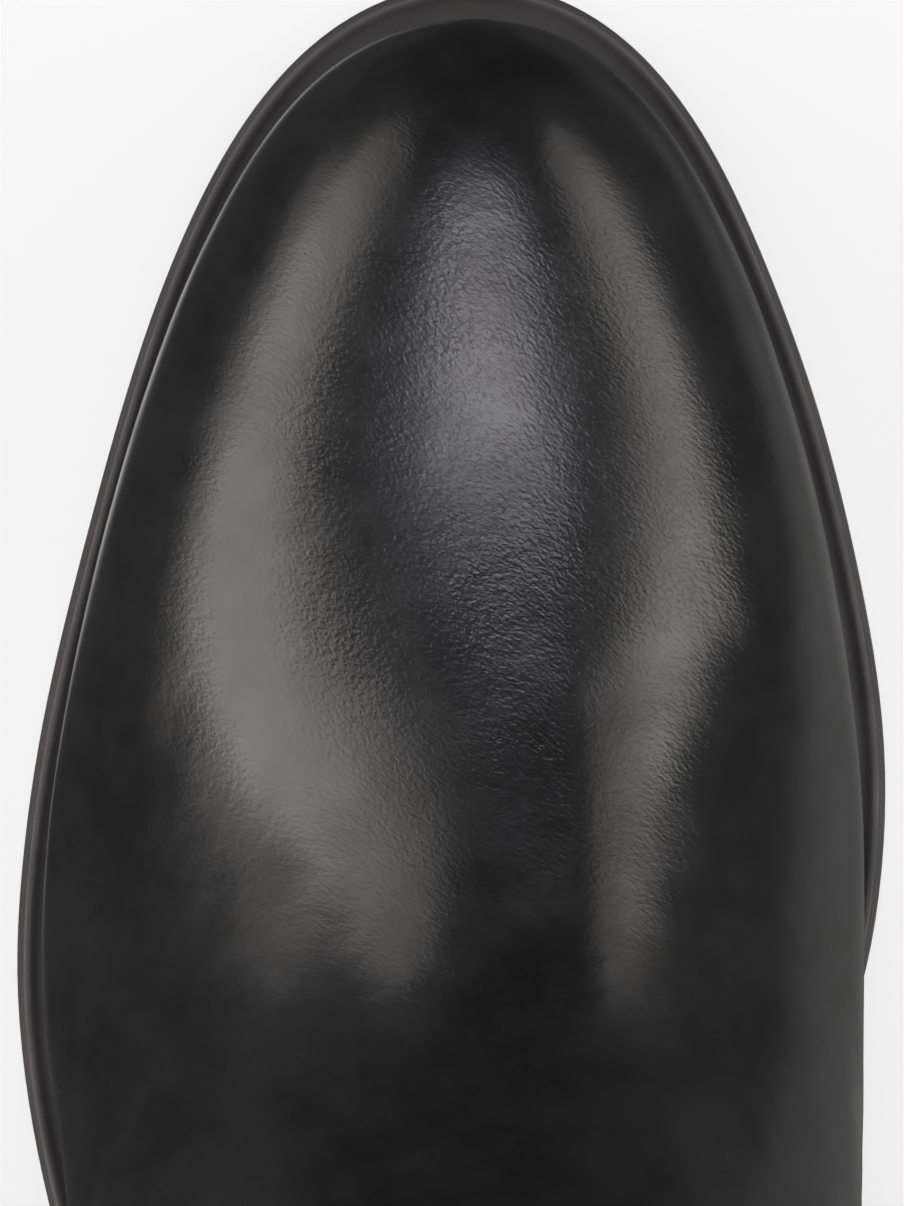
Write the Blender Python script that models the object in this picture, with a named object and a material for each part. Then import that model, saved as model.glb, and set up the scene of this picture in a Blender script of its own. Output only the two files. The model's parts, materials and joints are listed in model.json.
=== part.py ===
"""Wide calf boot for the left foot: hollow leather upper with its shaft, welt, outsole, heel and insole.

Run it with: blender --background --python part.py
Blender units are metres. The sizes below are millimetres, in the boot's own drawing: Y runs from
the back of the heel to the toe, +X is the inner (medial) side of the foot and Z is up from the floor.
"""

import math
from collections import namedtuple

import bmesh
import bpy
import numpy as np

MM = 0.001

# Driving sizes
SOLE_LENGTH = 278.0
BALL_WIDTH = 100.8
HEEL_HEIGHT = 25.0
TOE_SPRING = 10.0
INSTEP_HEIGHT = 92.0
BOOT_HEIGHT = 392.0
CALF_GIRTH = 430.0
CALF_DEPTH = 144.0
WALL = 2.2
GAP = 0.3

# Sole: layers, edge and the lengths along the floor
SOLE_THICKNESS = 5.0
WELT_THICKNESS = 2.6
INSOLE_THICKNESS = 2.4
EDGE = 4.2
TOE_EDGE = 5.3
TOE_EDGE_FADE = 8
HEEL_BREAST = 62.0
FLAT_BACK = 162.0
FLAT_FRONT = 205.0

# Mesh: rows along the foot, up the shaft and round each half of a section, the distance at which
# points are one, and the angle from which an edge is sharp
FOOT_STEPS = 36
SHAFT_STEPS = 20
HALF_STEPS = 16
MERGE = 0.03
SHARP_ANGLE = 40

HALF_LENGTH = SOLE_LENGTH / 2
HALF_BALL = BALL_WIDTH / 2
CALF_WIDTH = 2 * CALF_GIRTH / math.pi - CALF_DEPTH

# One row for each section of the foot, toe to heel. Lengths are shares of SOLE_LENGTH, widths are
# shares of half of BALL_WIDTH and heights are shares of INSTEP_HEIGHT. A section runs from the sole
# at "along" up to the front line at "top_along" and "top_height". "widest" is where, on the way up,
# it is widest, "square" is 2 for an ellipse and more for a boxier curve, and "peak" is 1 for a round
# ridge and more for a sharper one.
Foot = namedtuple(
    "Foot",
    "name along sole_lateral sole_medial wall_lateral wall_medial"
    " ridge top_along top_height widest square peak",
)
FOOT_ROWS = [
    Foot("toe tip", 1.000, -0.052, 0.052, -0.052, 0.052, 0.052, 0.981, 0.315, 0.45, 2.0, 1.0),
    Foot("toe corner", 0.952, 0.442, 0.526, 0.391, 0.474, 0.060, 0.942, 0.466, 0.42, 2.2, 1.0),
    Foot("toe box", 0.885, 0.646, 0.722, 0.599, 0.673, 0.075, 0.874, 0.504, 0.36, 2.3, 1.0),
    Foot("vamp", 0.784, 0.825, 0.906, 0.786, 0.847, 0.140, 0.770, 0.543, 0.30, 2.3, 0.98),
    Foot("inner ball", 0.651, 0.985, 1.007, 0.926, 0.944, 0.212, 0.644, 0.646, 0.26, 2.05, 1.60),
    Foot("outer ball", 0.583, 1.012, 0.960, 0.939, 0.942, 0.212, 0.576, 0.720, 0.30, 2.05, 1.40),
    Foot("joint", 0.489, 0.934, 0.764, 0.873, 0.929, 0.200, 0.525, 0.840, 0.42, 2.0, 1.30),
    Foot("waist", 0.374, 0.724, 0.585, 0.853, 0.923, 0.150, 0.482, 1.002, 0.50, 2.0, 1.12),
    Foot("breast", 0.259, 0.645, 0.605, 0.825, 0.885, 0.100, 0.459, 1.145, 0.55, 2.0, 1.0),
    Foot("seat", 0.151, 0.625, 0.655, 0.832, 0.872, 0.060, 0.441, 1.304, 0.60, 2.0, 1.0),
    Foot("heel", 0.050, 0.466, 0.496, 0.838, 0.868, 0.030, 0.430, 1.489, 0.61, 2.0, 1.0),
    Foot("heel back", 0.000, -0.020, 0.020, 0.838, 0.868, 0.020, 0.4245, 1.717, 0.61, 2.0, 1.0),
]

# One row for each ring of the shaft, heel to collar: where its back and front lie, as shares of
# SOLE_LENGTH and BOOT_HEIGHT, and its width as a share of the calf's.
Ring = namedtuple("Ring", "name back_along back_height front_along front_height width widest")
SHAFT_ROWS = [
    Ring("counter", -0.005, 0.158, 0.4237, 0.430, 0.663, 0.61),
    Ring("ankle", 0.006, 0.250, 0.4245, 0.482, 0.680, 0.57),
    Ring("lower shaft", 0.001, 0.357, 0.428, 0.554, 0.748, 0.53),
    Ring("middle shaft", -0.029, 0.510, 0.442, 0.658, 0.879, 0.50),
    Ring("calf", -0.061, 0.714, 0.457, 0.796, 1.000, 0.50),
    Ring("upper calf", -0.065, 0.842, 0.459, 0.888, 1.000, 0.50),
    Ring("collar", -0.054, 0.977, 0.453, 1.000, 0.970, 0.50),
]
SHAFT_CENTRE = 0.015
ELLIPSE = 2.0

# The foot of a section lies out to no more than this share of its half width
FOOT_SHARE = 0.995

# Cross-section of each sole layer: how far a line lies in from the sole's edge, and its share of the
# layer's thickness. The welt is a rounded bead outside. Its inside is measured from the foot of the
# upper: the bottom of a groove, then the seat under the upper's wall.
OUTSOLE_EDGE = [(1.0, 0.0), (0.2, 0.16), (0.0, 0.5), (0.2, 0.84), (0.6, 1.0)]
INSOLE_EDGE = [(0.3, 0.0), (0.0, 0.3), (0.0, 0.8), (0.5, 1.0)]
WELT_BEAD = [(0.9, 0.0), (0.55, 0.3), (0.6, 0.68), (0.95, 0.93), (1.45, 1.0), (2.0, 0.94), (2.5, 0.8)]
WELT_SEAT = 3.6
WELT_INSIDE = [(-0.5, 0.72), (GAP, 0.95), (WELT_SEAT, 0.95), (WELT_SEAT, 0.0)]

# Heel block, top to floor: inset from the sole's edge, share of its height, and how far its front
# (breast) face has moved back
Lift = namedtuple("Lift", "name inset height breast")
HEEL_ROWS = [
    Lift("seat", 0.8, 1.00, 0.0),
    Lift("middle", 2.0, 0.55, 1.6),
    Lift("above the top piece", 2.7, 0.24, 2.6),
    Lift("groove top", 3.2, 0.225, 3.0),
    Lift("groove bottom", 3.2, 0.205, 3.0),
    Lift("top piece", 2.8, 0.19, 2.7),
    Lift("floor edge", 2.9, 0.03, 2.9),
    Lift("floor", 3.6, 0.0, 3.6),
]
BREAST_HOLLOW = 3.0
BREAST_STEPS = 6

# Materials: linear colour, then roughness
BLACK_LEATHER = ((0.012, 0.012, 0.013), 0.35)
BLACK_RUBBER = ((0.018, 0.018, 0.018), 0.5)
BROWN_LINING = ((0.09, 0.07, 0.055), 0.7)


def smooth(knots, values, at):
    """Smooth curve through the values at the knots, read at one or many places."""
    knots = np.asarray(knots, float)
    values = np.asarray(values, float)
    at = np.asarray(at, float)
    slopes = np.gradient(values, knots, edge_order=2)
    i = np.clip(np.searchsorted(knots, at) - 1, 0, len(knots) - 2)
    span = knots[i + 1] - knots[i]
    s = (at - knots[i]) / span
    rise = values[i + 1] - values[i]
    start = slopes[i] * span - rise
    finish = rise - slopes[i + 1] * span
    return values[i] + s * rise + s * (1 - s) * (start * (1 - s) + finish * s)


def column(rows, name):
    return np.array([getattr(row, name) for row in rows])


def turn_at(length):
    """Angle from toe (0) to heel (pi) whose cosine gives a length from the heel."""
    return np.arccos(np.clip(np.asarray(length) / HALF_LENGTH - 1, -1, 1))


FOOT_TURNS = turn_at(column(FOOT_ROWS, "along") * SOLE_LENGTH)


def foot_curve(name, turns, scale):
    return scale * smooth(FOOT_TURNS, column(FOOT_ROWS, name), turns)


def tread_height(y):
    """Underside of the outsole: toe spring, flat forefoot, arch, then a level seat on the heel."""
    toe = np.clip((y - FLAT_FRONT) / (SOLE_LENGTH - FLAT_FRONT), 0, None)
    arch = np.clip((FLAT_BACK - y) / (FLAT_BACK - HEEL_BREAST), 0, 1)
    return TOE_SPRING * toe**2 + HEEL_HEIGHT * arch**2 * (3 - 2 * arch)


def sole_top(y):
    return tread_height(y) + SOLE_THICKNESS


def feather_height(y):
    """Top of the welt, where the upper's lower edge stands."""
    return sole_top(y) + WELT_THICKNESS + 2 * GAP


def feather_inset(turns):
    """How far the upper's lower edge lies in from the sole's edge: a little more at the toe."""
    toe = np.clip(np.cos(turns), 0, 1) ** TOE_EDGE_FADE
    return EDGE + (TOE_EDGE - EDGE) * toe


def outline(turns, inset):
    """Sole outline moved in by an inset: the lateral and the medial points, toe to heel."""
    inset = np.broadcast_to(np.asarray(inset, float), turns.shape)
    y = HALF_LENGTH * (1 + np.cos(turns))
    lateral = np.column_stack([-foot_curve("sole_lateral", turns, HALF_BALL), y])
    medial = np.column_stack([foot_curve("sole_medial", turns, HALF_BALL), y])
    loop = np.vstack([lateral, medial[-2:0:-1]])
    ahead = np.roll(loop, -1, axis=0) - np.roll(loop, 1, axis=0)
    inward = np.column_stack([-ahead[:, 1], ahead[:, 0]])
    inward /= np.linalg.norm(inward, axis=1)[:, None]
    loop = loop + inward * np.concatenate([inset, inset[-2:0:-1]])[:, None]
    steps = len(turns)
    back = np.vstack([loop[:1], loop[: steps - 2 : -1]])
    return loop[:steps], back


def closed_loop(turns, inset, height):
    """Sole outline at an inset as one closed loop of points, with heights from a function of y."""
    lateral, medial = outline(turns, inset)
    flat = np.vstack([lateral, medial[-2:0:-1]])
    return np.column_stack([flat, height(flat[:, 1])])


def new_object(name, bm, material, collection):
    """Finishes a bmesh drawn in millimetres as a smooth-shaded object."""
    bmesh.ops.recalc_face_normals(bm, faces=bm.faces)
    bmesh.ops.scale(bm, vec=(MM, MM, MM), verts=bm.verts)
    mesh = bpy.data.meshes.new(name)
    bm.to_mesh(mesh)
    bm.free()
    mesh.shade_smooth()
    mesh.set_sharp_from_angle(angle=math.radians(SHARP_ANGLE))
    mesh.materials.append(material)
    obj = bpy.data.objects.new(name, mesh)
    collection.objects.link(obj)
    return obj


def loft(bm, loops, ring=False):
    """Sides between loops of equal length. A ring also joins its last loop to its first."""
    rows = [[bm.verts.new(point) for point in loop] for loop in loops]
    pairs = list(zip(rows, rows[1:]))
    if ring:
        pairs.append((rows[-1], rows[0]))
    for low, high in pairs:
        for i in range(len(low)):
            j = (i + 1) % len(low)
            bm.faces.new((low[i], low[j], high[j], high[i]))
    return rows


def close_across(bm, row):
    """Closes a sole-shaped loop with strips from its lateral to its medial side."""
    half = len(row) // 2
    lateral = row[: half + 1]
    medial = [row[0]] + row[:half - 1:-1]
    for i in range(half):
        corners = [lateral[i], lateral[i + 1], medial[i + 1], medial[i]]
        bm.faces.new(list(dict.fromkeys(corners)))


def leather_upper(material, collection):
    """Vamp, heel and shaft as one sheet, closed along the back seam and given its wall thickness."""
    knots, front, back, wall, ridge, widest, square, peak = upper_rows()
    turns = np.concatenate(
        [
            np.linspace(0, math.pi, FOOT_STEPS + 1),
            np.linspace(math.pi, knots[-1], SHAFT_STEPS + 1)[1:],
        ]
    )
    foot = turns[: FOOT_STEPS + 1]
    feather = outline(foot, feather_inset(foot))

    bm = bmesh.new()
    bmesh.ops.create_grid(bm, x_segments=len(turns) - 1, y_segments=2 * HALF_STEPS, size=1)
    for vert in bm.verts:
        station = round((vert.co.x + 1) / 2 * (len(turns) - 1))
        across = vert.co.y
        side = 0 if across < 0 else 1
        turn = turns[station]
        top = smooth(knots, front[:, 0], turn), smooth(knots, front[:, 1], turn)
        middle = smooth(knots, ridge, turn)
        if station <= FOOT_STEPS:
            base_x, base_y = feather[side][station]
            base_z = feather_height(base_y)
        else:
            base_x = middle
            base_y = smooth(knots, back[:, 0], turn)
            base_z = smooth(knots, back[:, 1], turn)
        reach = smooth(knots, wall[side], turn)
        vert.co = section_point(
            1 - abs(across),
            base=(base_x, base_y, base_z),
            top=top,
            middle=middle,
            half_width=reach - middle,
            widest=smooth(knots, widest, turn),
            power=ELLIPSE / smooth(knots, square, turn),
            peak=smooth(knots, peak, turn),
        )
    bmesh.ops.remove_doubles(bm, verts=bm.verts, dist=MERGE)
    thicken(bm)
    return new_object("upper", bm, material, collection)


def thicken(bm):
    """Gives the sheet an inner face one wall in from it, with a lower rim that stands flat on the welt."""
    bm.normal_update()
    outside = list(bm.verts)
    rim = [edge for edge in bm.edges if edge.is_boundary]
    inner = bmesh.ops.duplicate(bm, geom=bm.verts[:] + bm.edges[:] + bm.faces[:])["vert_map"]
    for vert in outside:
        inner[vert].co = vert.co - vert.normal * WALL * vert.calc_shell_factor()
    for vert in outside:
        if vert.is_boundary and vert.co.z < feather_height(vert.co.y) + GAP:
            level_rim(inner[vert])
    for edge in rim:
        start, end = edge.verts
        bm.faces.new((start, end, inner[end], inner[start]))


def level_rim(vert):
    """Slides a point of the lower rim along the wall until it is level with the outer edge."""
    above = [edge.other_vert(vert) for edge in vert.link_edges if not edge.is_boundary]
    slope = vert.co - above[0].co
    vert.co += slope * (feather_height(vert.co.y) - vert.co.z) / slope.z


def upper_rows():
    """Foot and shaft sections joined into one run of knots, toe to collar."""
    foot_back = column(FOOT_ROWS, "along") * SOLE_LENGTH
    heel_back = EDGE
    back_y = np.concatenate([foot_back, column(SHAFT_ROWS, "back_along") * SOLE_LENGTH])
    back_y[len(FOOT_ROWS) - 1] = heel_back
    back_z = np.concatenate([feather_height(foot_back), column(SHAFT_ROWS, "back_height") * BOOT_HEIGHT])
    rise = np.hypot(np.diff(back_y), np.diff(back_z))[len(FOOT_ROWS) - 1 :]
    knots = np.concatenate([FOOT_TURNS, math.pi + np.cumsum(rise) / HALF_LENGTH])
    front = np.column_stack(
        [
            SOLE_LENGTH * np.concatenate([column(FOOT_ROWS, "top_along"), column(SHAFT_ROWS, "front_along")]),
            np.concatenate(
                [
                    INSTEP_HEIGHT * column(FOOT_ROWS, "top_height"),
                    BOOT_HEIGHT * column(SHAFT_ROWS, "front_height"),
                ]
            ),
        ]
    )
    rings = np.full(len(SHAFT_ROWS), SHAFT_CENTRE * HALF_BALL)
    half_ring = column(SHAFT_ROWS, "width") * CALF_WIDTH / 2
    wall = (
        np.concatenate([-HALF_BALL * column(FOOT_ROWS, "wall_lateral"), rings - half_ring]),
        np.concatenate([HALF_BALL * column(FOOT_ROWS, "wall_medial"), rings + half_ring]),
    )
    widest = np.concatenate([column(FOOT_ROWS, "widest"), column(SHAFT_ROWS, "widest")])
    square = np.concatenate([column(FOOT_ROWS, "square"), np.full(len(SHAFT_ROWS), ELLIPSE)])
    peak = np.concatenate([column(FOOT_ROWS, "peak"), np.ones(len(SHAFT_ROWS))])
    ridge = np.concatenate([HALF_BALL * column(FOOT_ROWS, "ridge"), rings])
    return knots, front, np.column_stack([back_y, back_z]), wall, ridge, widest, square, peak


def section_point(up, base, top, middle, half_width, widest, power, peak):
    """Point on half of a section: an ellipse-like curve from its base (up 0) to the ridge (up 1)."""
    base_x, base_y, base_z = base
    share = 0.0
    if abs(half_width) > GAP:
        share = np.clip((base_x - middle) / half_width, 0, FOOT_SHARE)
    start = -math.acos(share ** (1 / power))
    angle = start + up * (math.pi / 2 - start)
    across = max(math.cos(angle), 0) ** power
    if angle >= 0:
        rise = widest + (1 - widest) * math.sin(angle) ** (power * peak)
    else:
        rise = widest * (1 - (math.sin(-angle) / math.sin(-start)) ** power)
    x = middle + half_width * across
    return x, base_y + rise * (top[0] - base_y), base_z + rise * (top[1] - base_z)


def sole_layer(name, profile, inset, floor, thickness, material, collection):
    """Solid sole-shaped layer whose edge follows a profile of (inset, share of thickness)."""
    turns = np.linspace(0, math.pi, FOOT_STEPS + 1)
    bm = bmesh.new()
    loops = [
        closed_loop(turns, inset(turns) + step, lambda y, share=share: floor(y) + thickness * share)
        for step, share in profile
    ]
    rows = loft(bm, loops)
    close_across(bm, rows[0])
    close_across(bm, rows[-1])
    return new_object(name, bm, material, collection)


def welt(material, collection):
    """Strip between outsole and upper: a bead outside, a groove at the foot of the upper, and its seat."""
    turns = np.linspace(0, math.pi, FOOT_STEPS + 1)
    feather = feather_inset(turns)
    profile = [(np.full_like(turns, step), share) for step, share in WELT_BEAD]
    profile += [(feather + step, share) for step, share in WELT_INSIDE]
    bm = bmesh.new()
    loops = [
        closed_loop(turns, inset, lambda y, share=share: sole_top(y) + GAP + WELT_THICKNESS * share)
        for inset, share in profile
    ]
    loft(bm, loops, ring=True)
    return new_object("welt", bm, material, collection)


def insole(material, collection):
    """Board inside the welt, lying on the outsole."""

    def inset(turns):
        return feather_inset(turns) + WELT_SEAT + GAP

    def floor(y):
        return sole_top(y) + GAP

    return sole_layer("insole", INSOLE_EDGE, inset, floor, INSOLE_THICKNESS, material, collection)


def outsole(material, collection):
    """Rubber sole with a rounded edge, under the whole boot."""
    return sole_layer(
        "outsole", OUTSOLE_EDGE, np.zeros_like, tread_height, SOLE_THICKNESS, material, collection
    )


def heel(material, collection):
    """Block under the seat, narrowing to the floor, with a hollow breast and a line above its top piece."""
    top = HEEL_HEIGHT - GAP
    bm = bmesh.new()
    loops = []
    for row in HEEL_ROWS:
        breast = HEEL_BREAST - row.breast
        turns = np.linspace(turn_at(breast), math.pi, FOOT_STEPS // 2 + 1)
        lateral, medial = heel_sides(turns, row.inset)
        across = np.linspace(0, 1, BREAST_STEPS + 1)[1:-1, None]
        front = medial[0] + across * (lateral[0] - medial[0])
        front[:, 1] -= BREAST_HOLLOW * 4 * across[:, 0] * (1 - across[:, 0])
        flat = np.vstack([lateral, medial[-2::-1], front])
        loops.append(np.column_stack([flat, np.full(len(flat), top * row.height)]))
    rows = loft(bm, loops)
    bm.faces.new(rows[0])
    bm.faces.new(rows[-1])
    return new_object("heel", bm, material, collection)


def heel_sides(turns, inset):
    """The part of the sole's outline round the heel, moved in by an inset."""
    whole = np.concatenate([np.linspace(0, turns[0], FOOT_STEPS)[:-1], turns])
    lateral, medial = outline(whole, inset)
    return lateral[-len(turns) :], medial[-len(turns) :]


def principled(name, colour, roughness):
    material = bpy.data.materials.new(name)
    material.use_nodes = True
    shader = material.node_tree.nodes["Principled BSDF"]
    shader.inputs["Base Color"].default_value = (*colour, 1.0)
    shader.inputs["Roughness"].default_value = roughness
    shader.inputs["Metallic"].default_value = 0.0
    return material


def centre_over_origin(objects, collection):
    """Parents the pieces to an empty that puts the middle of their box over the origin, on the floor."""
    bpy.context.view_layer.update()
    corners = np.array([obj.matrix_world @ v.co for obj in objects for v in obj.data.vertices])
    middle = (corners.min(axis=0) + corners.max(axis=0)) / 2
    stand = bpy.data.objects.new("boot_stand", None)
    stand.location = (-middle[0], -middle[1], 0.0)
    collection.objects.link(stand)
    for obj in objects:
        obj.parent = stand


def main():
    for obj in list(bpy.data.objects):
        bpy.data.objects.remove(obj)
    collection = bpy.data.collections.new("wide_calf_boot")
    bpy.context.scene.collection.children.link(collection)

    leather = principled("black leather", *BLACK_LEATHER)
    rubber = principled("black rubber", *BLACK_RUBBER)
    lining = principled("insole lining", *BROWN_LINING)
    pieces = [
        leather_upper(leather, collection),
        welt(rubber, collection),
        outsole(rubber, collection),
        heel(rubber, collection),
        insole(lining, collection),
    ]
    centre_over_origin(pieces, collection)


main()
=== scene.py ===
import json
from math import radians, sin, cos, pi

import bpy
from mathutils import Matrix, Vector

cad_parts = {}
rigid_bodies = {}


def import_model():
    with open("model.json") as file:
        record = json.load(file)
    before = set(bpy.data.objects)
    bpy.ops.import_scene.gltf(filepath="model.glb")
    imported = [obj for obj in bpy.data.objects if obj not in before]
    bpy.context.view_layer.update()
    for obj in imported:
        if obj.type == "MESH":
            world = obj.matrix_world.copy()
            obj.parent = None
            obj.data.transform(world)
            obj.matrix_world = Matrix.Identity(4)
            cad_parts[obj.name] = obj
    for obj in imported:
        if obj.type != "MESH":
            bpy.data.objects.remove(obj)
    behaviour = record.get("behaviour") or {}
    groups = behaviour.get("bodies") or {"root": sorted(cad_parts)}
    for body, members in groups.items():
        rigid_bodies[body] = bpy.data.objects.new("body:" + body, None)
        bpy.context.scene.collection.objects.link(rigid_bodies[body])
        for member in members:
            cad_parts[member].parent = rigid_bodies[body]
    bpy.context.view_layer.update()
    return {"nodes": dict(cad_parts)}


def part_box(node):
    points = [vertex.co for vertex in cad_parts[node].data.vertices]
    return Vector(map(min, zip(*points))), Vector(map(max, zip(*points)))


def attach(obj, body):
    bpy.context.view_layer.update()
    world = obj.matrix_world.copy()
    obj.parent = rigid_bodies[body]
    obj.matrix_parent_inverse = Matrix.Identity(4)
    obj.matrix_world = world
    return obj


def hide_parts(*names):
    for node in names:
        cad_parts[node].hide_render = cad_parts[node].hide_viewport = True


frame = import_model()
nodes = frame["nodes"]
mm = 0.001
print("frame loaded:", ", ".join(sorted(nodes)))


# small helpers

def deselectAll():
    if bpy.context.object and bpy.context.object.mode != 'OBJECT':
        bpy.ops.object.mode_set(mode='OBJECT')
    bpy.ops.object.select_all(action='DESELECT')


def makeActive(piece):
    deselectAll()
    piece.select_set(True)
    bpy.context.view_layer.objects.active = piece


def editMode(piece, what='VERT'):
    makeActive(piece)
    bpy.ops.object.mode_set(mode='EDIT')
    bpy.ops.mesh.select_mode(type=what)
    bpy.ops.mesh.select_all(action='DESELECT')


def objectMode():
    bpy.ops.object.mode_set(mode='OBJECT')


def selectWhere(piece, what, test):
    # into edit mode with only the vertices, edges or faces that pass the test selected
    makeActive(piece)
    mesh = piece.data
    kinds = {'VERT': mesh.vertices, 'EDGE': mesh.edges, 'FACE': mesh.polygons}
    bpy.context.tool_settings.mesh_select_mode = [what == kind for kind in kinds]
    for parts in kinds.values():
        parts.foreach_set("select", [False] * len(parts))
    for part in kinds[what]:
        part.select = test(part)
    bpy.ops.object.mode_set(mode='EDIT')


def applyModifier(piece, kind, **settings):
    makeActive(piece)
    modifier = piece.modifiers.new(kind.lower(), kind)
    for name, value in settings.items():
        setattr(modifier, name, value)
    bpy.ops.object.modifier_apply(modifier=modifier.name)


def smoothen(piece, levels):
    applyModifier(piece, 'SUBSURF', levels=levels, render_levels=levels)
    piece.data.shade_smooth()


weldDistance = 0.00001                   # m
quadAngle = radians(80)                  # two triangles that bend less than this make a quad


def copyOfNode(nodeName, pieceName):
    # own mesh, welded and turned back into quads
    piece = bpy.data.objects.new(pieceName, nodes[nodeName].data.copy())
    bpy.context.scene.collection.objects.link(piece)
    piece.data.materials.clear()
    editMode(piece)
    bpy.ops.mesh.select_all(action='SELECT')
    bpy.ops.mesh.remove_doubles(threshold=weldDistance)
    bpy.ops.mesh.customdata_custom_splitnormals_clear()
    bpy.ops.mesh.tris_convert_to_quads(face_threshold=quadAngle, shape_threshold=quadAngle)
    objectMode()
    return piece


def dressNode(piece, nodeName):
    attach(piece, "root")
    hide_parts(nodeName)


# material helpers

noiseSpan = (0.3, 0.7)                   # noise hardly leaves this span


def newMaterial(name, settings):
    material = bpy.data.materials.new(name)
    material.use_nodes = True
    shader = material.node_tree.nodes["Principled BSDF"]
    for socket, value in settings.items():
        shader.inputs[socket].default_value = value
    return material, material.node_tree, shader


def addNode(tree, kind, settings=None, **inputs):
    node = tree.nodes.new("ShaderNode" + kind)
    for name, value in (settings or {}).items():
        setattr(node, name, value)
    for name, value in inputs.items():
        setInput(tree, node.inputs[name], value)
    return node


def setInput(tree, socket, value):
    if isinstance(value, bpy.types.NodeSocket):
        tree.links.new(value, socket)
    else:
        socket.default_value = value


def objectCoordinates(tree):
    return addNode(tree, "TexCoord").outputs["Object"]


def scaled(tree, vector, scale):
    return addNode(tree, "Mapping", Vector=vector, Scale=scale).outputs["Vector"]


def turned(tree, vector, degrees):
    node = addNode(tree, "VectorRotate", {"rotation_type": 'Z_AXIS'}, Vector=vector, Angle=radians(degrees))
    return node.outputs["Vector"]


def noise(tree, vector, scale=1.0, detail=2.0, roughness=0.5, distortion=0.0):
    node = addNode(tree, "TexNoise", Vector=vector, Scale=scale, Detail=detail,
                   Roughness=roughness, Distortion=distortion)
    return node.outputs[0]


def ramp(tree, value, start, end, low=0.0, high=1.0):
    node = addNode(tree, "MapRange", {"interpolation_type": 'SMOOTHSTEP'}, Value=value)
    for name, number in (("From Min", start), ("From Max", end), ("To Min", low), ("To Max", high)):
        setInput(tree, node.inputs[name], number)
    return node.outputs["Result"]


def maths(tree, operation, first, second=0.0):
    node = addNode(tree, "Math", {"operation": operation})
    setInput(tree, node.inputs[0], first)
    setInput(tree, node.inputs[1], second)
    return node.outputs[0]


def product(tree, first, *others):
    for other in others:
        first = maths(tree, 'MULTIPLY', first, other)
    return first


def mixed(tree, share, first, second):
    node = addNode(tree, "Mix", {"data_type": 'FLOAT'})
    setInput(tree, node.inputs[0], share)
    setInput(tree, node.inputs[2], first)
    setInput(tree, node.inputs[3], second)
    return node.outputs[0]


def mixedColour(tree, share, first, second):
    node = addNode(tree, "Mix", {"data_type": 'RGBA'})
    setInput(tree, node.inputs[0], share)
    setInput(tree, node.inputs[6], first)
    setInput(tree, node.inputs[7], second)
    return node.outputs[2]


def bump(tree, shader, height, strength, distance):
    node = addNode(tree, "Bump", Height=height, Strength=strength, Distance=distance)
    tree.links.new(node.outputs["Normal"], shader.inputs["Normal"])


# polished black leather of the upper

leatherSettings = {
    "shader": {
        "Specular IOR Level": 0.5,
        "Coat Weight": 0.25,
        "Coat Roughness": 0.2,
        "Coat IOR": 1.45,
    },
    "dark": (0.0055, 0.0055, 0.0056, 1),
    # bluish pale tone of the painted sheen patches
    "pale": (0.0135, 0.0134, 0.0145, 1),
    "dust": (0.075, 0.072, 0.068, 1),
    "footGrain": (1450, 2600, 1450),     # strokes a metre: short lines across the foot
    "shaftGrain": (1450, 1450, 2600),    # and round the shaft
    "slant": -38,                        # degrees
    "turn": (0.07, 0.12),                # heights between which the grain turns
    "grainCentre": (0.004, 0.083, 0.046),
    "grainReach": (0.02, 0.06),          # strong to here from the centre, faint from there
    "grainFaint": 0.2,
    "patchScale": 55.0,                  # the grain comes in patches
    "patchSpan": (0.35, 0.65),
    "patchFaint": 0.55,
    "dimpleScale": 210.0,
    "dimpleHeight": 0.9,                 # beside the grain's height
    "polishScale": 75.0,
    "roughness": (0.18, 0.29),
    # size of the painted sheen patches
    "paintedSheenScale": 90.0,
    "dustScale": 75.0,
    "dustSize": (0.006, 0.014),
    "dustShare": (0.72, 0.76),           # most cells have no speck
    "bump": 1.0,
    "bumpDistance": 0.000065,
}


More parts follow.
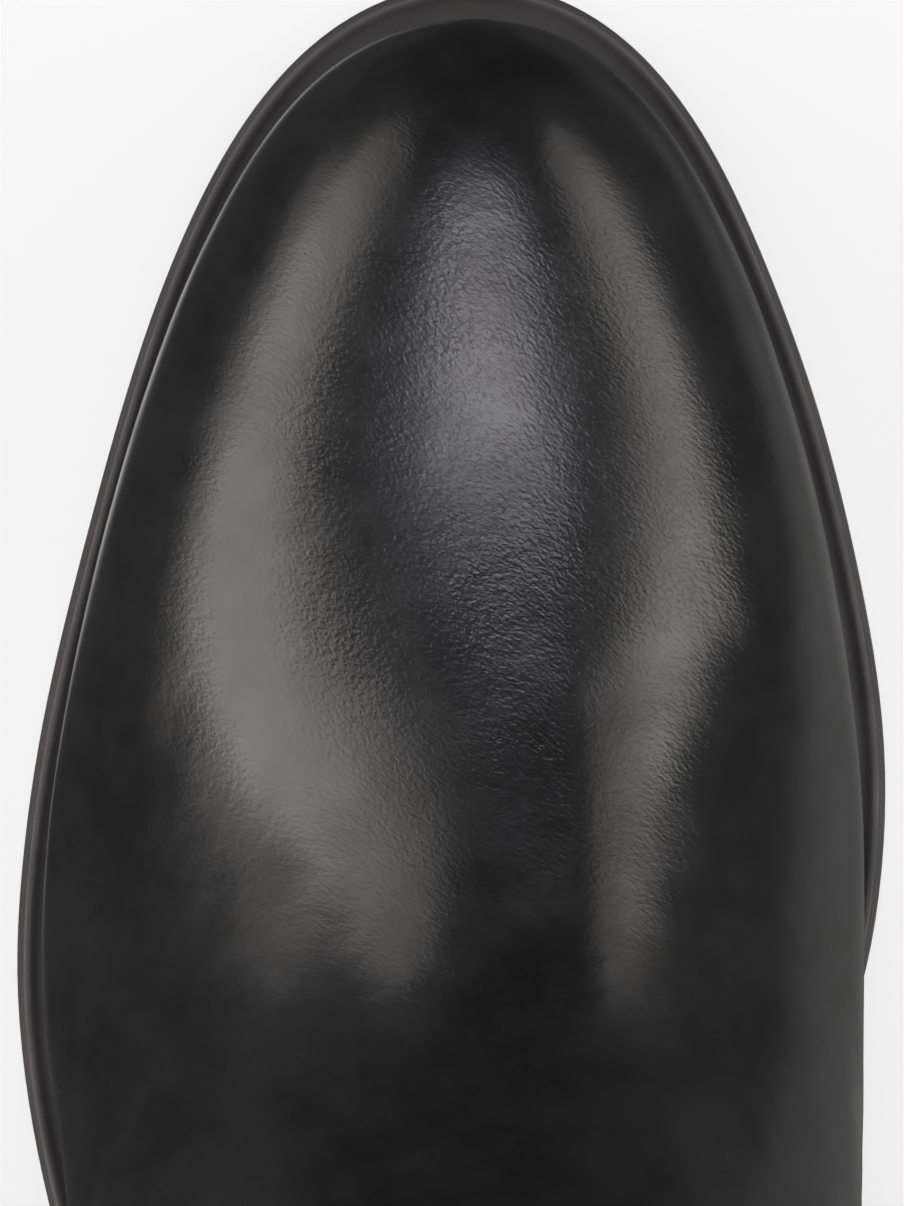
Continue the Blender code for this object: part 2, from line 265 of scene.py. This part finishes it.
def makeLeather():
    s = leatherSettings
    material, tree, shader = newMaterial("blackLeather", s["shader"])
    place = objectCoordinates(tree)
    height = addNode(tree, "SeparateXYZ", Vector=place).outputs["Z"]
    shaftShare = ramp(tree, height, *s["turn"])

    # short plump strokes, slanting across the foot and lying level on the shaft
    onFoot = noise(tree, scaled(tree, turned(tree, place, -s["slant"]), s["footGrain"]), 1.0, 1.5, 0.5, 0.4)
    onShaft = noise(tree, scaled(tree, place, s["shaftGrain"]), 1.0, 1.5, 0.5, 0.4)
    stroke = mixed(tree, shaftShare, onFoot, onShaft)

    # grain is strongest over the middle of the vamp, and patchy
    away = addNode(tree, "VectorMath", {"operation": 'DISTANCE'}, Vector=place)
    away.inputs[1].default_value = s["grainCentre"]
    near = ramp(tree, away.outputs["Value"], *s["grainReach"], 1.0, s["grainFaint"])
    patch = ramp(tree, noise(tree, place, s["patchScale"], 3.0, 0.6), *s["patchSpan"], s["patchFaint"], 1.0)
    grain = maths(tree, 'MULTIPLY', stroke, maths(tree, 'MULTIPLY', near, patch))
    dimples = maths(tree, 'MULTIPLY', noise(tree, place, s["dimpleScale"]), s["dimpleHeight"])
    bump(tree, shader, maths(tree, 'ADD', grain, dimples), s["bump"], s["bumpDistance"])

    # cloudy polish
    cloud = noise(tree, place, s["polishScale"], 4.0, 0.6)
    tree.links.new(ramp(tree, cloud, *noiseSpan, *s["roughness"]), shader.inputs["Roughness"])

    # colour: random paler, bluish patches painted in as sheen, with a few specks of dust
    paintedSheen = ramp(tree, noise(tree, place, s["paintedSheenScale"], 5.0, 0.7), *noiseSpan)
    tone = mixedColour(tree, paintedSheen, s["dark"], s["pale"])
    speck = addNode(tree, "TexVoronoi", Vector=place, Scale=s["dustScale"])
    lying = ramp(tree, speck.outputs["Distance"], *s["dustSize"], 1.0, 0.0)
    draw = addNode(tree, "SeparateColor", Color=speck.outputs["Color"]).outputs[0]
    chosen = ramp(tree, draw, *s["dustShare"])
    tone = mixedColour(tree, maths(tree, 'MULTIPLY', lying, chosen), tone, s["dust"])
    tree.links.new(tone, shader.inputs["Base Color"])
    return material


leather = makeLeather()

# matt leather inside the boot

liningSettings = {
    "shader": {"Specular IOR Level": 0.35},
    "dark": (0.022, 0.018, 0.016, 1),
    "pale": (0.036, 0.030, 0.026, 1),
    "toneScale": 40.0,
    "roughness": (0.55, 0.72),
    "polishScale": 120.0,
    "poreScale": 1100.0,
    "poreSize": (0.05, 0.5),
    "fibreScale": 900.0,
    "bump": 0.5,
    "bumpDistance": 0.00008,
}


def makeLining(name, s):
    material, tree, shader = newMaterial(name, s["shader"])
    place = objectCoordinates(tree)
    cloud = ramp(tree, noise(tree, place, s["toneScale"], 4.0, 0.6), *noiseSpan)
    tree.links.new(mixedColour(tree, cloud, s["dark"], s["pale"]), shader.inputs["Base Color"])
    polish = noise(tree, place, s["polishScale"], 3.0)
    tree.links.new(ramp(tree, polish, *noiseSpan, *s["roughness"]), shader.inputs["Roughness"])
    pores = addNode(tree, "TexVoronoi", Vector=place, Scale=s["poreScale"]).outputs["Distance"]
    fibres = noise(tree, place, s["fibreScale"], 3.0, 0.6)
    relief = maths(tree, 'ADD', ramp(tree, pores, *s["poreSize"]), fibres)
    bump(tree, shader, relief, s["bump"], s["bumpDistance"])
    return material


lining = makeLining("liningLeather", liningSettings)

sockLeatherSettings = {                  # the same leather, paler and a little smoother
    **liningSettings,
    "dark": (0.045, 0.036, 0.030, 1),
    "pale": (0.070, 0.057, 0.048, 1),
    "roughness": (0.5, 0.68),
}
sockLeather = makeLining("sockLeather", sockLeatherSettings)

# satin rubber of the sole

rubberSettings = {
    "shader": {"Specular IOR Level": 0.5},
    "dark": (0.047, 0.0455, 0.044, 1),
    "pale": (0.068, 0.065, 0.064, 1),
    "scuff": (0.11, 0.105, 0.10, 1),
    "toneScale": 60.0,
    "scuffHeight": (0.0002, 0.006),      # dust and wear fade out above the floor
    "scratches": (900, 160, 500),
    "scratchSpan": (0.48, 0.75),
    "scuffStrength": 0.7,
    "scuffRoughness": 0.2,               # added where it is scuffed
    "satinScale": 140.0,
    "roughness": (0.40, 0.56),
    "ribs": 330.0,                       # fine tread lines a metre, underneath
    "ribFaces": (-0.95, -0.85),          # on faces that look down
    "ribHeight": 2.0,
    "grainScale": 1500.0,
    "grainHeight": 0.35,
    "bump": 0.45,
    "bumpDistance": 0.00012,
}


def makeRubber():
    s = rubberSettings
    material, tree, shader = newMaterial("soleRubber", s["shader"])
    place = objectCoordinates(tree)
    height = addNode(tree, "SeparateXYZ", Vector=place).outputs["Z"]
    cloud = ramp(tree, noise(tree, place, s["toneScale"], 4.0, 0.6), *noiseSpan)
    tone = mixedColour(tree, cloud, s["dark"], s["pale"])
    scratches = noise(tree, scaled(tree, place, s["scratches"]), 1.0, 4.0, 0.65)
    low = ramp(tree, height, *s["scuffHeight"], 1.0, 0.0)
    scuff = maths(tree, 'MULTIPLY', low, ramp(tree, scratches, *s["scratchSpan"], 0.0, s["scuffStrength"]))
    tree.links.new(mixedColour(tree, scuff, tone, s["scuff"]), shader.inputs["Base Color"])
    satin = ramp(tree, noise(tree, place, s["satinScale"], 4.0, 0.6), *noiseSpan, *s["roughness"])
    worn = maths(tree, 'MULTIPLY', scuff, s["scuffRoughness"])
    tree.links.new(maths(tree, 'ADD', satin, worn), shader.inputs["Roughness"])

    # fine ribs underneath: a wave texture of scale 1 has 20 / 2 pi of them
    normal = addNode(tree, "NewGeometry").outputs["True Normal"]
    facing = addNode(tree, "SeparateXYZ", Vector=normal).outputs["Z"]
    below = ramp(tree, facing, *s["ribFaces"], 1.0, 0.0)
    wave = addNode(tree, "TexWave", {"bands_direction": 'Y'}, Vector=place, Scale=s["ribs"] * 2 * pi / 20,
                   Distortion=0.0)
    ribs = maths(tree, 'MULTIPLY', below, wave.outputs[1])
    grain = maths(tree, 'MULTIPLY', noise(tree, place, s["grainScale"], 3.0, 0.6), s["grainHeight"])
    relief = maths(tree, 'ADD', grain, maths(tree, 'MULTIPLY', ribs, s["ribHeight"]))
    bump(tree, shader, relief, s["bump"], s["bumpDistance"])
    return material


rubber = makeRubber()
print("materials done")

# upper: one skin of leather with its lining

upperSettings = {
    "rimAngle": 50,                      # degrees, from here an edge is a rim
    "rimSegments": 3,
    "footBevel": 0.35,                   # mm, rounds the cut edges
    "collarBevel": 0.95,
    "collarStart": 360,                  # mm above the floor
    "shaftMiddle": (0, -75, 0),
    "plainShaft": (250, 350),            # mm, heights where only the shaft's two walls are
    "toeReach": 4.0,                     # mm back from the tip
    "toeLine": 0.2,                      # mm beside the line where the two sides meet
    "toeFoot": 18.5,                     # mm above the floor, the rim at the toe lies below this
    "toeStep": 0.6,
    "heelStart": -100,                   # mm, behind this y is the heel
    "heelFoot": 34,                      # mm, the rim at the heel lies below this
    "collarBack": (0, -145, 383),        # mm, the topline's plane
    "collarFront": (0, -4, 392),
    "stitchLine": 4.2,                   # mm under the topline
    "stitchWidth": 1.3,
    "stitchDepth": 0.35,
    "seamFoot": 36,                      # mm, closing seam down the back
    "seamWidth": 1.1,
    "seamDepth": 0.4,
    "seamSlack": 0.6,                    # mm, its points lie this near the middle
    "seamLean": 0.5,                     # mm, and an edge along it leans less than this
    "subdivision": 2,
    "waveSize": 0.028,                   # slow unevenness of the skin
    "waveHeight": 0.35,
}

# soft folds, given one by one: the side they belong to, path across it (mm), half width, depth (mm)
foldSettings = [
    # vamp, seen from above (x, y)
    ('vamp', [(17, 65), (23, 68.5), (29, 73)], 6.5, 0.25),
    ('vamp', [(-32, 62), (-27, 56), (-21, 48.5)], 6.0, 0.32),
    ('vamp', [(-18, 57), (-14.5, 55.5)], 4.0, 0.18),
    ('vamp', [(8, 66), (8.5, 48), (7, 30)], 7.0, 0.12),
    # throat and ankle, seen from the front (x, z)
    ('front', [(-30, 128), (-14, 117), (4, 113), (20, 118), (34, 130)], 11, 1.3),
    ('front', [(-26, 152), (-8, 144), (10, 143), (26, 150)], 10, 0.8),
    ('back', [(-32, 104), (-12, 98), (10, 99), (30, 106)], 11, 1.1),
    ('back', [(-30, 132), (-6, 125), (24, 133)], 11, 0.8),
]
foldSides = {                            # axis and way they move, y (mm) where they begin and are full
    'vamp': ('Z', -1, 20, 30),
    'front': ('Y', -1, -52, -15),
    'back': ('Y', 1, -70, -105),
}


def lineInside(upper):
    # lining on the whole inner wall, found from the shaft's inside up to the sharp rims
    s = upperSettings
    middle = Vector(s["shaftMiddle"]) * mm
    bottom, top = (height * mm for height in s["plainShaft"])
    editMode(upper, 'EDGE')
    bpy.ops.mesh.edges_select_sharp(sharpness=radians(s["rimAngle"]))
    bpy.ops.mesh.mark_sharp()
    objectMode()

    def looksInwards(face):
        out = face.center - middle
        return bottom < face.center.z < top and face.normal.x * out.x + face.normal.y * out.y < 0

    selectWhere(upper, 'FACE', looksInwards)
    bpy.ops.mesh.select_linked(delimit={'SHARP'})
    upper.active_material_index = 1
    bpy.ops.object.material_slot_assign()
    objectMode()


def thinToe(upper):
    # points crowd on the line where the two sides meet at the toe
    s = upperSettings
    low = [v.co for v in upper.data.vertices if v.co.z < s["toeFoot"] * mm]
    toe = max(low, key=lambda place: place.y).copy()
    selectWhere(upper, 'VERT', lambda v: v.co.y > toe.y - s["toeReach"] * mm
                and abs(v.co.x - toe.x) < s["toeLine"] * mm)
    bpy.ops.mesh.remove_doubles(threshold=s["toeStep"] * mm)
    objectMode()
    return toe


def roundRims(upper, toe):
    # both edges of the collar, and the outer edge on the welt
    s = upperSettings
    inside = {key for face in upper.data.polygons if face.material_index == 1 for key in face.edge_keys}

    def isCollar(edge):
        return edge.use_edge_sharp and upper.data.vertices[edge.vertices[0]].co.z > s["collarStart"] * mm

    def isFoot(edge):
        ends = [upper.data.vertices[i].co for i in edge.vertices]
        inToe = any(end.y > toe.y - s["toeReach"] * mm and end.z > s["toeFoot"] * mm for end in ends)
        upHeel = any(end.y < s["heelStart"] * mm and end.z > s["heelFoot"] * mm for end in ends)
        return edge.use_edge_sharp and edge.key not in inside and not (inToe or upHeel or isCollar(edge))

    for isRim, width in ((isFoot, s["footBevel"]), (isCollar, s["collarBevel"])):
        selectWhere(upper, 'EDGE', isRim)
        bpy.ops.mesh.bevel(offset=width * mm, segments=s["rimSegments"], affect='EDGES')
        objectMode()
    editMode(upper, 'EDGE')
    bpy.ops.mesh.select_all(action='SELECT')
    bpy.ops.mesh.mark_sharp(clear=True)
    objectMode()


def collarPlane():
    back, front = (Vector(upperSettings[end]) * mm for end in ("collarBack", "collarFront"))
    along = (front - back).normalized()
    return back, along, Vector((1, 0, 0)).cross(along)


def pressStitchLine(upper):
    # a pressed line under the topline, between two holding lines
    s = upperSettings
    back, along, upwards = collarPlane()
    for step, press in ((-1, 0), (1, 0), (0, s["stitchDepth"])):
        editMode(upper)
        bpy.ops.mesh.select_all(action='SELECT')
        drop = s["stitchLine"] + step * s["stitchWidth"]
        bpy.ops.mesh.bisect(plane_co=back - upwards * drop * mm, plane_no=upwards)
        if press:
            bpy.ops.transform.shrink_fatten(value=-press * mm)
        objectMode()


def pressBackSeam(upper):
    s = upperSettings

    def isOnSeam(vertex):
        place = vertex.co
        looksBack = vertex.normal.y < -0.5 and place.y < s["heelStart"] * mm
        return looksBack and abs(place.x) < s["seamSlack"] * mm and place.z > s["seamFoot"] * mm

    def isSeam(edge):
        ends = [upper.data.vertices[i] for i in edge.vertices]
        return all(map(isOnSeam, ends)) and abs(ends[0].co.x - ends[1].co.x) < s["seamLean"] * mm

    selectWhere(upper, 'EDGE', isSeam)
    bpy.ops.mesh.bevel(offset=s["seamWidth"] * mm, segments=2, affect='EDGES')
    objectMode()
    selectWhere(upper, 'EDGE', isSeam)
    bpy.ops.transform.shrink_fatten(value=-s["seamDepth"] * mm)
    objectMode()


def distanceToPath(point, path):
    nearest = 1.0
    for start, end in zip(path, path[1:]):
        along = end - start
        share = max(0.0, min(1.0, (point - start).dot(along) / along.length_squared))
        nearest = min(nearest, (point - start - along * share).length)
    return nearest


def sinkFolds(upper):
    deepest = max(depth for side, path, width, depth in foldSettings)
    for side, (axis, way, begin, full) in foldSides.items():
        folds = [([Vector(p) * mm for p in path], width * mm, depth / deepest)
                 for name, path, width, depth in foldSettings if name == side]
        group = upper.vertex_groups.new(name="fold_" + side)
        for vertex in upper.data.vertices:
            point = vertex.co
            share = min((point.y / mm - begin) / (full - begin), 1.0)
            if share <= 0:
                continue
            flat = Vector((point.x, point.y if axis == 'Z' else point.z))
            weight = 0.0
            for path, width, depth in folds:
                away = distanceToPath(flat, path) / width
                if away < 1:
                    weight += depth * (0.5 + 0.5 * cos(pi * away))
            if weight > 0:
                group.add([vertex.index], min(weight * share, 1.0), 'REPLACE')
        applyModifier(upper, 'DISPLACE', direction=axis, mid_level=0.0, strength=way * deepest * mm,
                      vertex_group=group.name)
    upper.vertex_groups.clear()


def roughenSkin(upper):
    waves = bpy.data.textures.new("skinWaves", 'CLOUDS')
    waves.noise_scale = upperSettings["waveSize"]
    waves.noise_depth = 1
    applyModifier(upper, 'DISPLACE', texture=waves, texture_coords='LOCAL', mid_level=0.5,
                  strength=upperSettings["waveHeight"] * mm)


def makeUpper():
    upper = copyOfNode("upper", "bootUpper")
    upper.data.materials.append(leather)
    upper.data.materials.append(lining)
    lineInside(upper)
    toe = thinToe(upper)
    roundRims(upper, toe)
    pressStitchLine(upper)
    pressBackSeam(upper)
    smoothen(upper, upperSettings["subdivision"])
    sinkFolds(upper)
    roughenSkin(upper)
    dressNode(upper, "upper")
    return upper


upper = makeUpper()
print("upper done:", len(upper.data.polygons), "faces")

# waxed thread of the stitches

threadSettings = {
    "shader": {"Roughness": 0.55},
    "dark": (0.010, 0.010, 0.010, 1),
    "pale": (0.022, 0.022, 0.022, 1),
    "twistScale": 220.0,
    "bump": 0.5,
    "bumpDistance": 0.0001,
}


def makeThread():
    s = threadSettings
    material, tree, shader = newMaterial("waxedThread", s["shader"])
    twist = addNode(tree, "TexWave", {"bands_direction": 'DIAGONAL'}, Vector=objectCoordinates(tree),
                    Scale=s["twistScale"]).outputs[1]
    tree.links.new(mixedColour(tree, twist, s["dark"], s["pale"]), shader.inputs["Base Color"])
    bump(tree, shader, twist, s["bump"], s["bumpDistance"])
    return material


thread = makeThread()

# stitches round the topline, standing in the pressed line

stitchSettings = {
    "length": 2.3,                       # mm
    "thickness": 0.55,
    "pitch": 3.1,
    "lift": 0.12,                        # share of the thickness
    "segments": 8,
    "rings": 6,
    "centre": (0, -0.0745),              # middle of the shaft
    "probes": 720,                       # the topline is felt for this often, from so far out
    "probeStart": 0.12,
}


def toplinePath():
    s = stitchSettings
    back, along, upwards = collarPlane()
    path = []
    for i in range(s["probes"]):
        turn = 2 * pi * i / s["probes"]
        out = Vector((sin(turn), cos(turn), 0))
        start = Vector((*s["centre"], 0)) + out * s["probeStart"]
        start.z = back.z + (start.y - back.y) * along.z / along.y
        start -= upwards * upperSettings["stitchLine"] * mm
        hit, place, normal, face = upper.ray_cast(start, -out)
        path.append((place, normal))
    return path


def stitchSpots():
    path = toplinePath()
    steps = list(zip(path, path[1:] + path[:1]))
    total = sum((b[0] - a[0]).length for a, b in steps)
    count = round(total / (stitchSettings["pitch"] * mm))
    walked, wanted, spots = 0.0, 0.0, []
    for (a, normal), (b, nextNormal) in steps:
        step = (b - a).length
        while wanted <= walked + step and len(spots) < count:
            spots.append((a.lerp(b, (wanted - walked) / step), (b - a).normalized(), normal))
            wanted += total / count
        walked += step
    return spots


def makeStitches():
    s = stitchSettings
    deselectAll()
    bpy.ops.mesh.primitive_uv_sphere_add(segments=s["segments"], ring_count=s["rings"], radius=0.5 * mm)
    first = bpy.context.object
    bpy.ops.transform.resize(value=(s["length"], s["thickness"], s["thickness"]))
    bpy.ops.object.transform_apply(location=True, rotation=True, scale=True)
    first.data.shade_smooth()
    first.data.materials.append(thread)
    copies = []
    for place, along, normal in stitchSpots():
        stitch = bpy.data.objects.new("stitch", first.data.copy())
        bpy.context.scene.collection.objects.link(stitch)
        side = normal.cross(along).normalized()
        lying = Matrix((along, side, along.cross(side))).transposed().to_4x4()
        lying.translation = place + along.cross(side) * s["thickness"] * s["lift"] * mm
        stitch.data.transform(lying)
        copies.append(stitch)
    bpy.data.objects.remove(first)
    deselectAll()
    for stitch in copies:
        stitch.select_set(True)
    bpy.context.view_layer.objects.active = copies[0]
    bpy.ops.object.join()
    stitches = bpy.context.object
    stitches.name = "toplineStitches"
    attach(stitches, "root")
    return stitches, len(copies)


stitches, stitchCount = makeStitches()
print("topline stitched:", stitchCount, "stitches")

# sole

weltSettings = {"subdivision": 2}


def makeWelt():
    welt = copyOfNode("welt", "soleWelt")
    smoothen(welt, weltSettings["subdivision"])
    welt.data.materials.append(rubber)
    dressNode(welt, "welt")
    return welt


welt = makeWelt()

outsoleSettings = {
    "flat": 0.75,                        # faces that look this far up or down
    "hold": 1.5,                         # mm, holding line inside the flat faces
    "channelIn": 5.0,                    # groove that follows the edge underneath
    "channelWidth": 1.0,
    "channelDepth": 0.5,
    "subdivision": 2,
}


def makeOutsole():
    s = outsoleSettings
    outsole = copyOfNode("outsole", "rubberOutsole")
    selectWhere(outsole, 'FACE', lambda face: face.normal.z > s["flat"])
    bpy.ops.mesh.inset(thickness=s["hold"] * mm)
    objectMode()
    selectWhere(outsole, 'FACE', lambda face: face.normal.z < -s["flat"])
    bpy.ops.mesh.inset(thickness=s["hold"] * mm)
    bpy.ops.mesh.inset(thickness=s["channelIn"] * mm)
    bpy.ops.mesh.inset(thickness=s["channelWidth"] * mm / 2, depth=-s["channelDepth"] * mm)
    bpy.ops.mesh.inset(thickness=s["channelWidth"] * mm / 2, depth=s["channelDepth"] * mm)
    bpy.ops.mesh.inset(thickness=s["hold"] * mm)
    objectMode()
    smoothen(outsole, s["subdivision"])
    outsole.data.materials.append(rubber)
    dressNode(outsole, "outsole")
    return outsole


outsole = makeOutsole()

heelSettings = {
    "flat": 0.98,
    "levelReach": 0.2,                   # mm
    "edgeAngle": 45,
    "bevel": 0.18,
    "manySided": 8,                      # the top and bottom faces have more corners than this
    "hold": 1.2,
    "subdivision": 2,
}


def makeHeel():
    s = heelSettings
    heel = copyOfNode("heel", "heelBlock")
    low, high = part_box("heel")
    for level in (low[2], high[2]):
        selectWhere(heel, 'FACE', lambda face: abs(face.normal.z) > s["flat"]
                    and abs(face.center.z - level) < s["levelReach"] * mm)
        bpy.ops.mesh.dissolve_faces()
        objectMode()
    editMode(heel, 'EDGE')
    bpy.ops.mesh.edges_select_sharp(sharpness=radians(s["edgeAngle"]))
    bpy.ops.mesh.bevel(offset=s["bevel"] * mm, segments=2, affect='EDGES')
    objectMode()
    selectWhere(heel, 'FACE', lambda face: abs(face.normal.z) > s["flat"]
                and len(face.vertices) > s["manySided"])
    bpy.ops.mesh.inset(thickness=s["hold"] * mm)
    objectMode()
    smoothen(heel, s["subdivision"])
    heel.data.materials.append(rubber)
    dressNode(heel, "heel")
    return heel


heel = makeHeel()

sockSettings = {
    "flat": 0.75,
    "hold": 0.4,                         # mm
    "subdivision": 2,
}


def makeSockLining():
    s = sockSettings
    sock = copyOfNode("insole", "sockLining")
    for sign in (1, -1):
        selectWhere(sock, 'FACE', lambda face: face.normal.z * sign > s["flat"])
        bpy.ops.mesh.inset(thickness=s["hold"] * mm)
        objectMode()
    smoothen(sock, s["subdivision"])
    sock.data.materials.append(sockLeather)
    dressNode(sock, "insole")
    return sock


sockLining = makeSockLining()
for piece in (upper, stitches, welt, outsole, heel, sockLining):
    print(piece.name, sum(len(face.vertices) - 2 for face in piece.data.polygons), "triangles")
print("sole done")

# floor, backdrop, lights and camera

stageSettings = {
    "floorSize": 30,                     # m
    "floorLevel": -0.0005,
    "backdropRadius": 14,
    "backdropRings": 24,
    "paper": {
        "Base Color": (0.35, 0.35, 0.35, 1),
        "Roughness": 0.9,
        "Specular IOR Level": 0.0,
        "Emission Color": (1, 1, 1, 1),
        "Emission Strength": 0.66,
    },
    "wall": {
        "Base Color": (0, 0, 0, 1),
        "Emission Color": (1, 1, 1, 1),
        "Emission Strength": 0.9,
    },
}


def makeStage():
    s = stageSettings
    paper = newMaterial("palePaper", s["paper"])[0]
    deselectAll()
    bpy.ops.mesh.primitive_plane_add(size=s["floorSize"], location=(0, 0, s["floorLevel"]))
    floor = bpy.context.object
    floor.name = "paleFloor"
    floor.data.materials.append(paper)
    floor.visible_glossy = False

    wall = newMaterial("paleWall", s["wall"])[0]
    deselectAll()
    bpy.ops.mesh.primitive_uv_sphere_add(segments=2 * s["backdropRings"], ring_count=s["backdropRings"],
                                         radius=s["backdropRadius"])
    backdrop = bpy.context.object
    backdrop.name = "paleBackdrop"
    backdrop.data.materials.append(wall)
    backdrop.visible_glossy = False
    backdrop.visible_diffuse = False
    backdrop.visible_shadow = False


makeStage()

warmWhite = (1.04, 1.0, 0.96)
coolWhite = (0.98, 0.957, 1.06)
lightSettings = {
    "aim": (0, 0.08, 0.05),              # m, all boxes face the vamp
    "distance": 1.3,                     # m, of their ends
    # name, its two ends (azimuth from the toe, angle from straight up), height, radiance, colour
    "boxes": [
        ("leftBoxLong", (-33, 44), (-110, 79), 0.42, 1.35, warmWhite),
        ("leftBoxMiddle", (-47, 46), (-110, 79), 0.48, 0.95, warmWhite),
        ("leftBoxCore", (-61, 51), (-110, 79), 0.50, 1.3, warmWhite),
        ("leftBoxLow", (-54, 66), (-102, 81), 0.28, 1.0, warmWhite),
        ("rightBoxLong", (34, 44), (110, 74), 0.42, 1.1, warmWhite),
        ("rightBoxMiddle", (48, 47), (110, 74), 0.44, 1.1, warmWhite),
        ("rightBoxCore", (61, 50), (110, 74), 0.46, 1.4, warmWhite),
        ("backBoxLeft", (-128, 46), (-128, 80), 0.36, 1.7, warmWhite),
        ("backBoxRight", (128, 46), (128, 80), 0.36, 1.7, warmWhite),
        ("topBoxWide", (0, 20), (180, 12), 0.90, 0.4, coolWhite),
        ("topBoxCore", (0, 21.5), (180, 12), 0.31, 4.9, coolWhite),    # longer, so it hangs lower
    ],
}

# room round the boot: dim ahead, paler at the sides, behind and down on the floor
# two numbers are the parts of a direction, across, along or up, between which a light comes or goes
roomSettings = {
    "ahead": 0.05,
    "sides": 0.18,
    "sideReach": (0.10, 0.28),           # sides begin here
    "sideEnd": (0.45, 0.9),              # and fade to a share from here
    "sideShare": 0.35,
    "sideTop": (0.3, 0.75),              # they also fade out upwards
    "sideFoot": (-0.85, -0.2),           # and downwards, on the outer side and ahead
    "sideFront": (0.72, 0.88),           # and straight ahead of the toe
    "sideFaded": 0.1,
    "outerReach": (0.0, -0.15),          # what counts there as the outer side
    "aheadReach": (0.1, 0.35),           # and as ahead
    "behind": 0.30,
    "behindReach": (-0.05, -0.8),
    "inner": 0.2,                        # a low band on the inner side
    "innerReach": (0.5, 0.75),
    "innerTop": (-0.3, -0.5),
    "innerFoot": (-0.85, -0.65),
    "floor": 0.75,                       # the floor's glow in the foot of the leather
    "floorReach": (-0.91, -0.995),       # only straight down
    "floorSide": (0.0, -0.15),           # on its outer side
    "floorFront": (-0.04, 0.06),         # and at the front
    "colour": (1.02, 1.0, 0.98, 1),
}


def makeLights():
    aim = Vector(lightSettings["aim"])
    for name, firstEnd, otherEnd, height, radiance, colour in lightSettings["boxes"]:
        ends = []
        for azimuth, fromTop in (firstEnd, otherEnd):
            azimuth, fromTop = radians(azimuth), radians(fromTop)
            towards = Vector((sin(azimuth) * sin(fromTop), cos(azimuth) * sin(fromTop), cos(fromTop)))
            ends.append(towards * lightSettings["distance"])
        middle = (ends[0] + ends[1]) / 2
        along = (ends[1] - ends[0]).normalized()
        outwards = (middle - along * middle.dot(along)).normalized()
        light = bpy.data.lights.new(name, 'AREA')
        light.shape = 'RECTANGLE'
        light.size = (ends[1] - ends[0]).length
        light.size_y = height
        light.energy = radiance * light.size * light.size_y * pi
        light.color = colour
        lamp = bpy.data.objects.new(name, light)
        lamp.matrix_world = Matrix.Translation(aim + middle) @ Matrix(
            (along, outwards.cross(along), outwards)).transposed().to_4x4()
        lamp.visible_camera = False
        bpy.context.scene.collection.objects.link(lamp)
    bpy.context.scene.view_settings.view_transform = 'Standard'


def makeRoom():
    s = roomSettings
    world = bpy.data.worlds.new("studio")
    world.use_nodes = True
    tree = world.node_tree
    direction = addNode(tree, "SeparateXYZ", Vector=addNode(tree, "TexCoord").outputs["Generated"])
    across, along, up = (direction.outputs[axis] for axis in "XYZ")
    aside = maths(tree, 'ABSOLUTE', across)
    fading = maths(tree, 'MAXIMUM', ramp(tree, across, *s["outerReach"]),
                   ramp(tree, along, *s["aheadReach"]))
    foot = ramp(tree, up, *s["sideFoot"], s["sideFaded"], 1.0)
    sides = product(tree,
                    ramp(tree, aside, *s["sideReach"]),
                    ramp(tree, aside, *s["sideEnd"], 1.0, s["sideShare"]),
                    ramp(tree, up, *s["sideTop"], s["sides"], 0.0),
                    mixed(tree, fading, 1.0, foot),
                    ramp(tree, along, *s["sideFront"], 1.0, s["sideFaded"]))
    behind = ramp(tree, along, *s["behindReach"], 0.0, s["behind"])
    below = product(tree,
                    ramp(tree, across, *s["floorSide"]),
                    ramp(tree, along, *s["floorFront"]),
                    ramp(tree, up, *s["floorReach"], 0.0, s["floor"]))
    inner = product(tree,
                    ramp(tree, up, *s["innerTop"]),
                    ramp(tree, up, *s["innerFoot"]),
                    ramp(tree, across, *s["innerReach"], 0.0, s["inner"]))
    glow = maths(tree, 'ADD', maths(tree, 'ADD', sides, behind), maths(tree, 'ADD', below, inner))
    background = tree.nodes["Background"]
    background.inputs["Color"].default_value = s["colour"]
    tree.links.new(maths(tree, 'ADD', glow, s["ahead"]), background.inputs["Strength"])
    bpy.context.scene.world = world


makeLights()
makeRoom()

cameraSettings = {
    "imageSize": (904, 1206),
    "pixelsPerMm": 8.6,                  # scale of the picture at the sole's edge
    "over": (-0.00076, 0.0761),          # place under the middle of the picture
    "soleLevel": 0.006,
    "height": 1.4,
    "film": 36,
    "clipStart": 0.01,
}


def makeCamera():
    s = cameraSettings
    data = bpy.data.cameras.new("camera")
    camera = bpy.data.objects.new("camera", data)
    bpy.context.scene.collection.objects.link(camera)
    camera.location = (*s["over"], s["height"])
    fieldHeight = s["imageSize"][1] / s["pixelsPerMm"] * mm
    data.sensor_fit = 'VERTICAL'
    data.sensor_height = s["film"]
    data.sensor_width = s["film"]
    data.lens = s["film"] * (s["height"] - s["soleLevel"]) / fieldHeight
    data.clip_start = s["clipStart"]
    bpy.context.scene.camera = camera


makeCamera()
print("floor, lights and camera done")
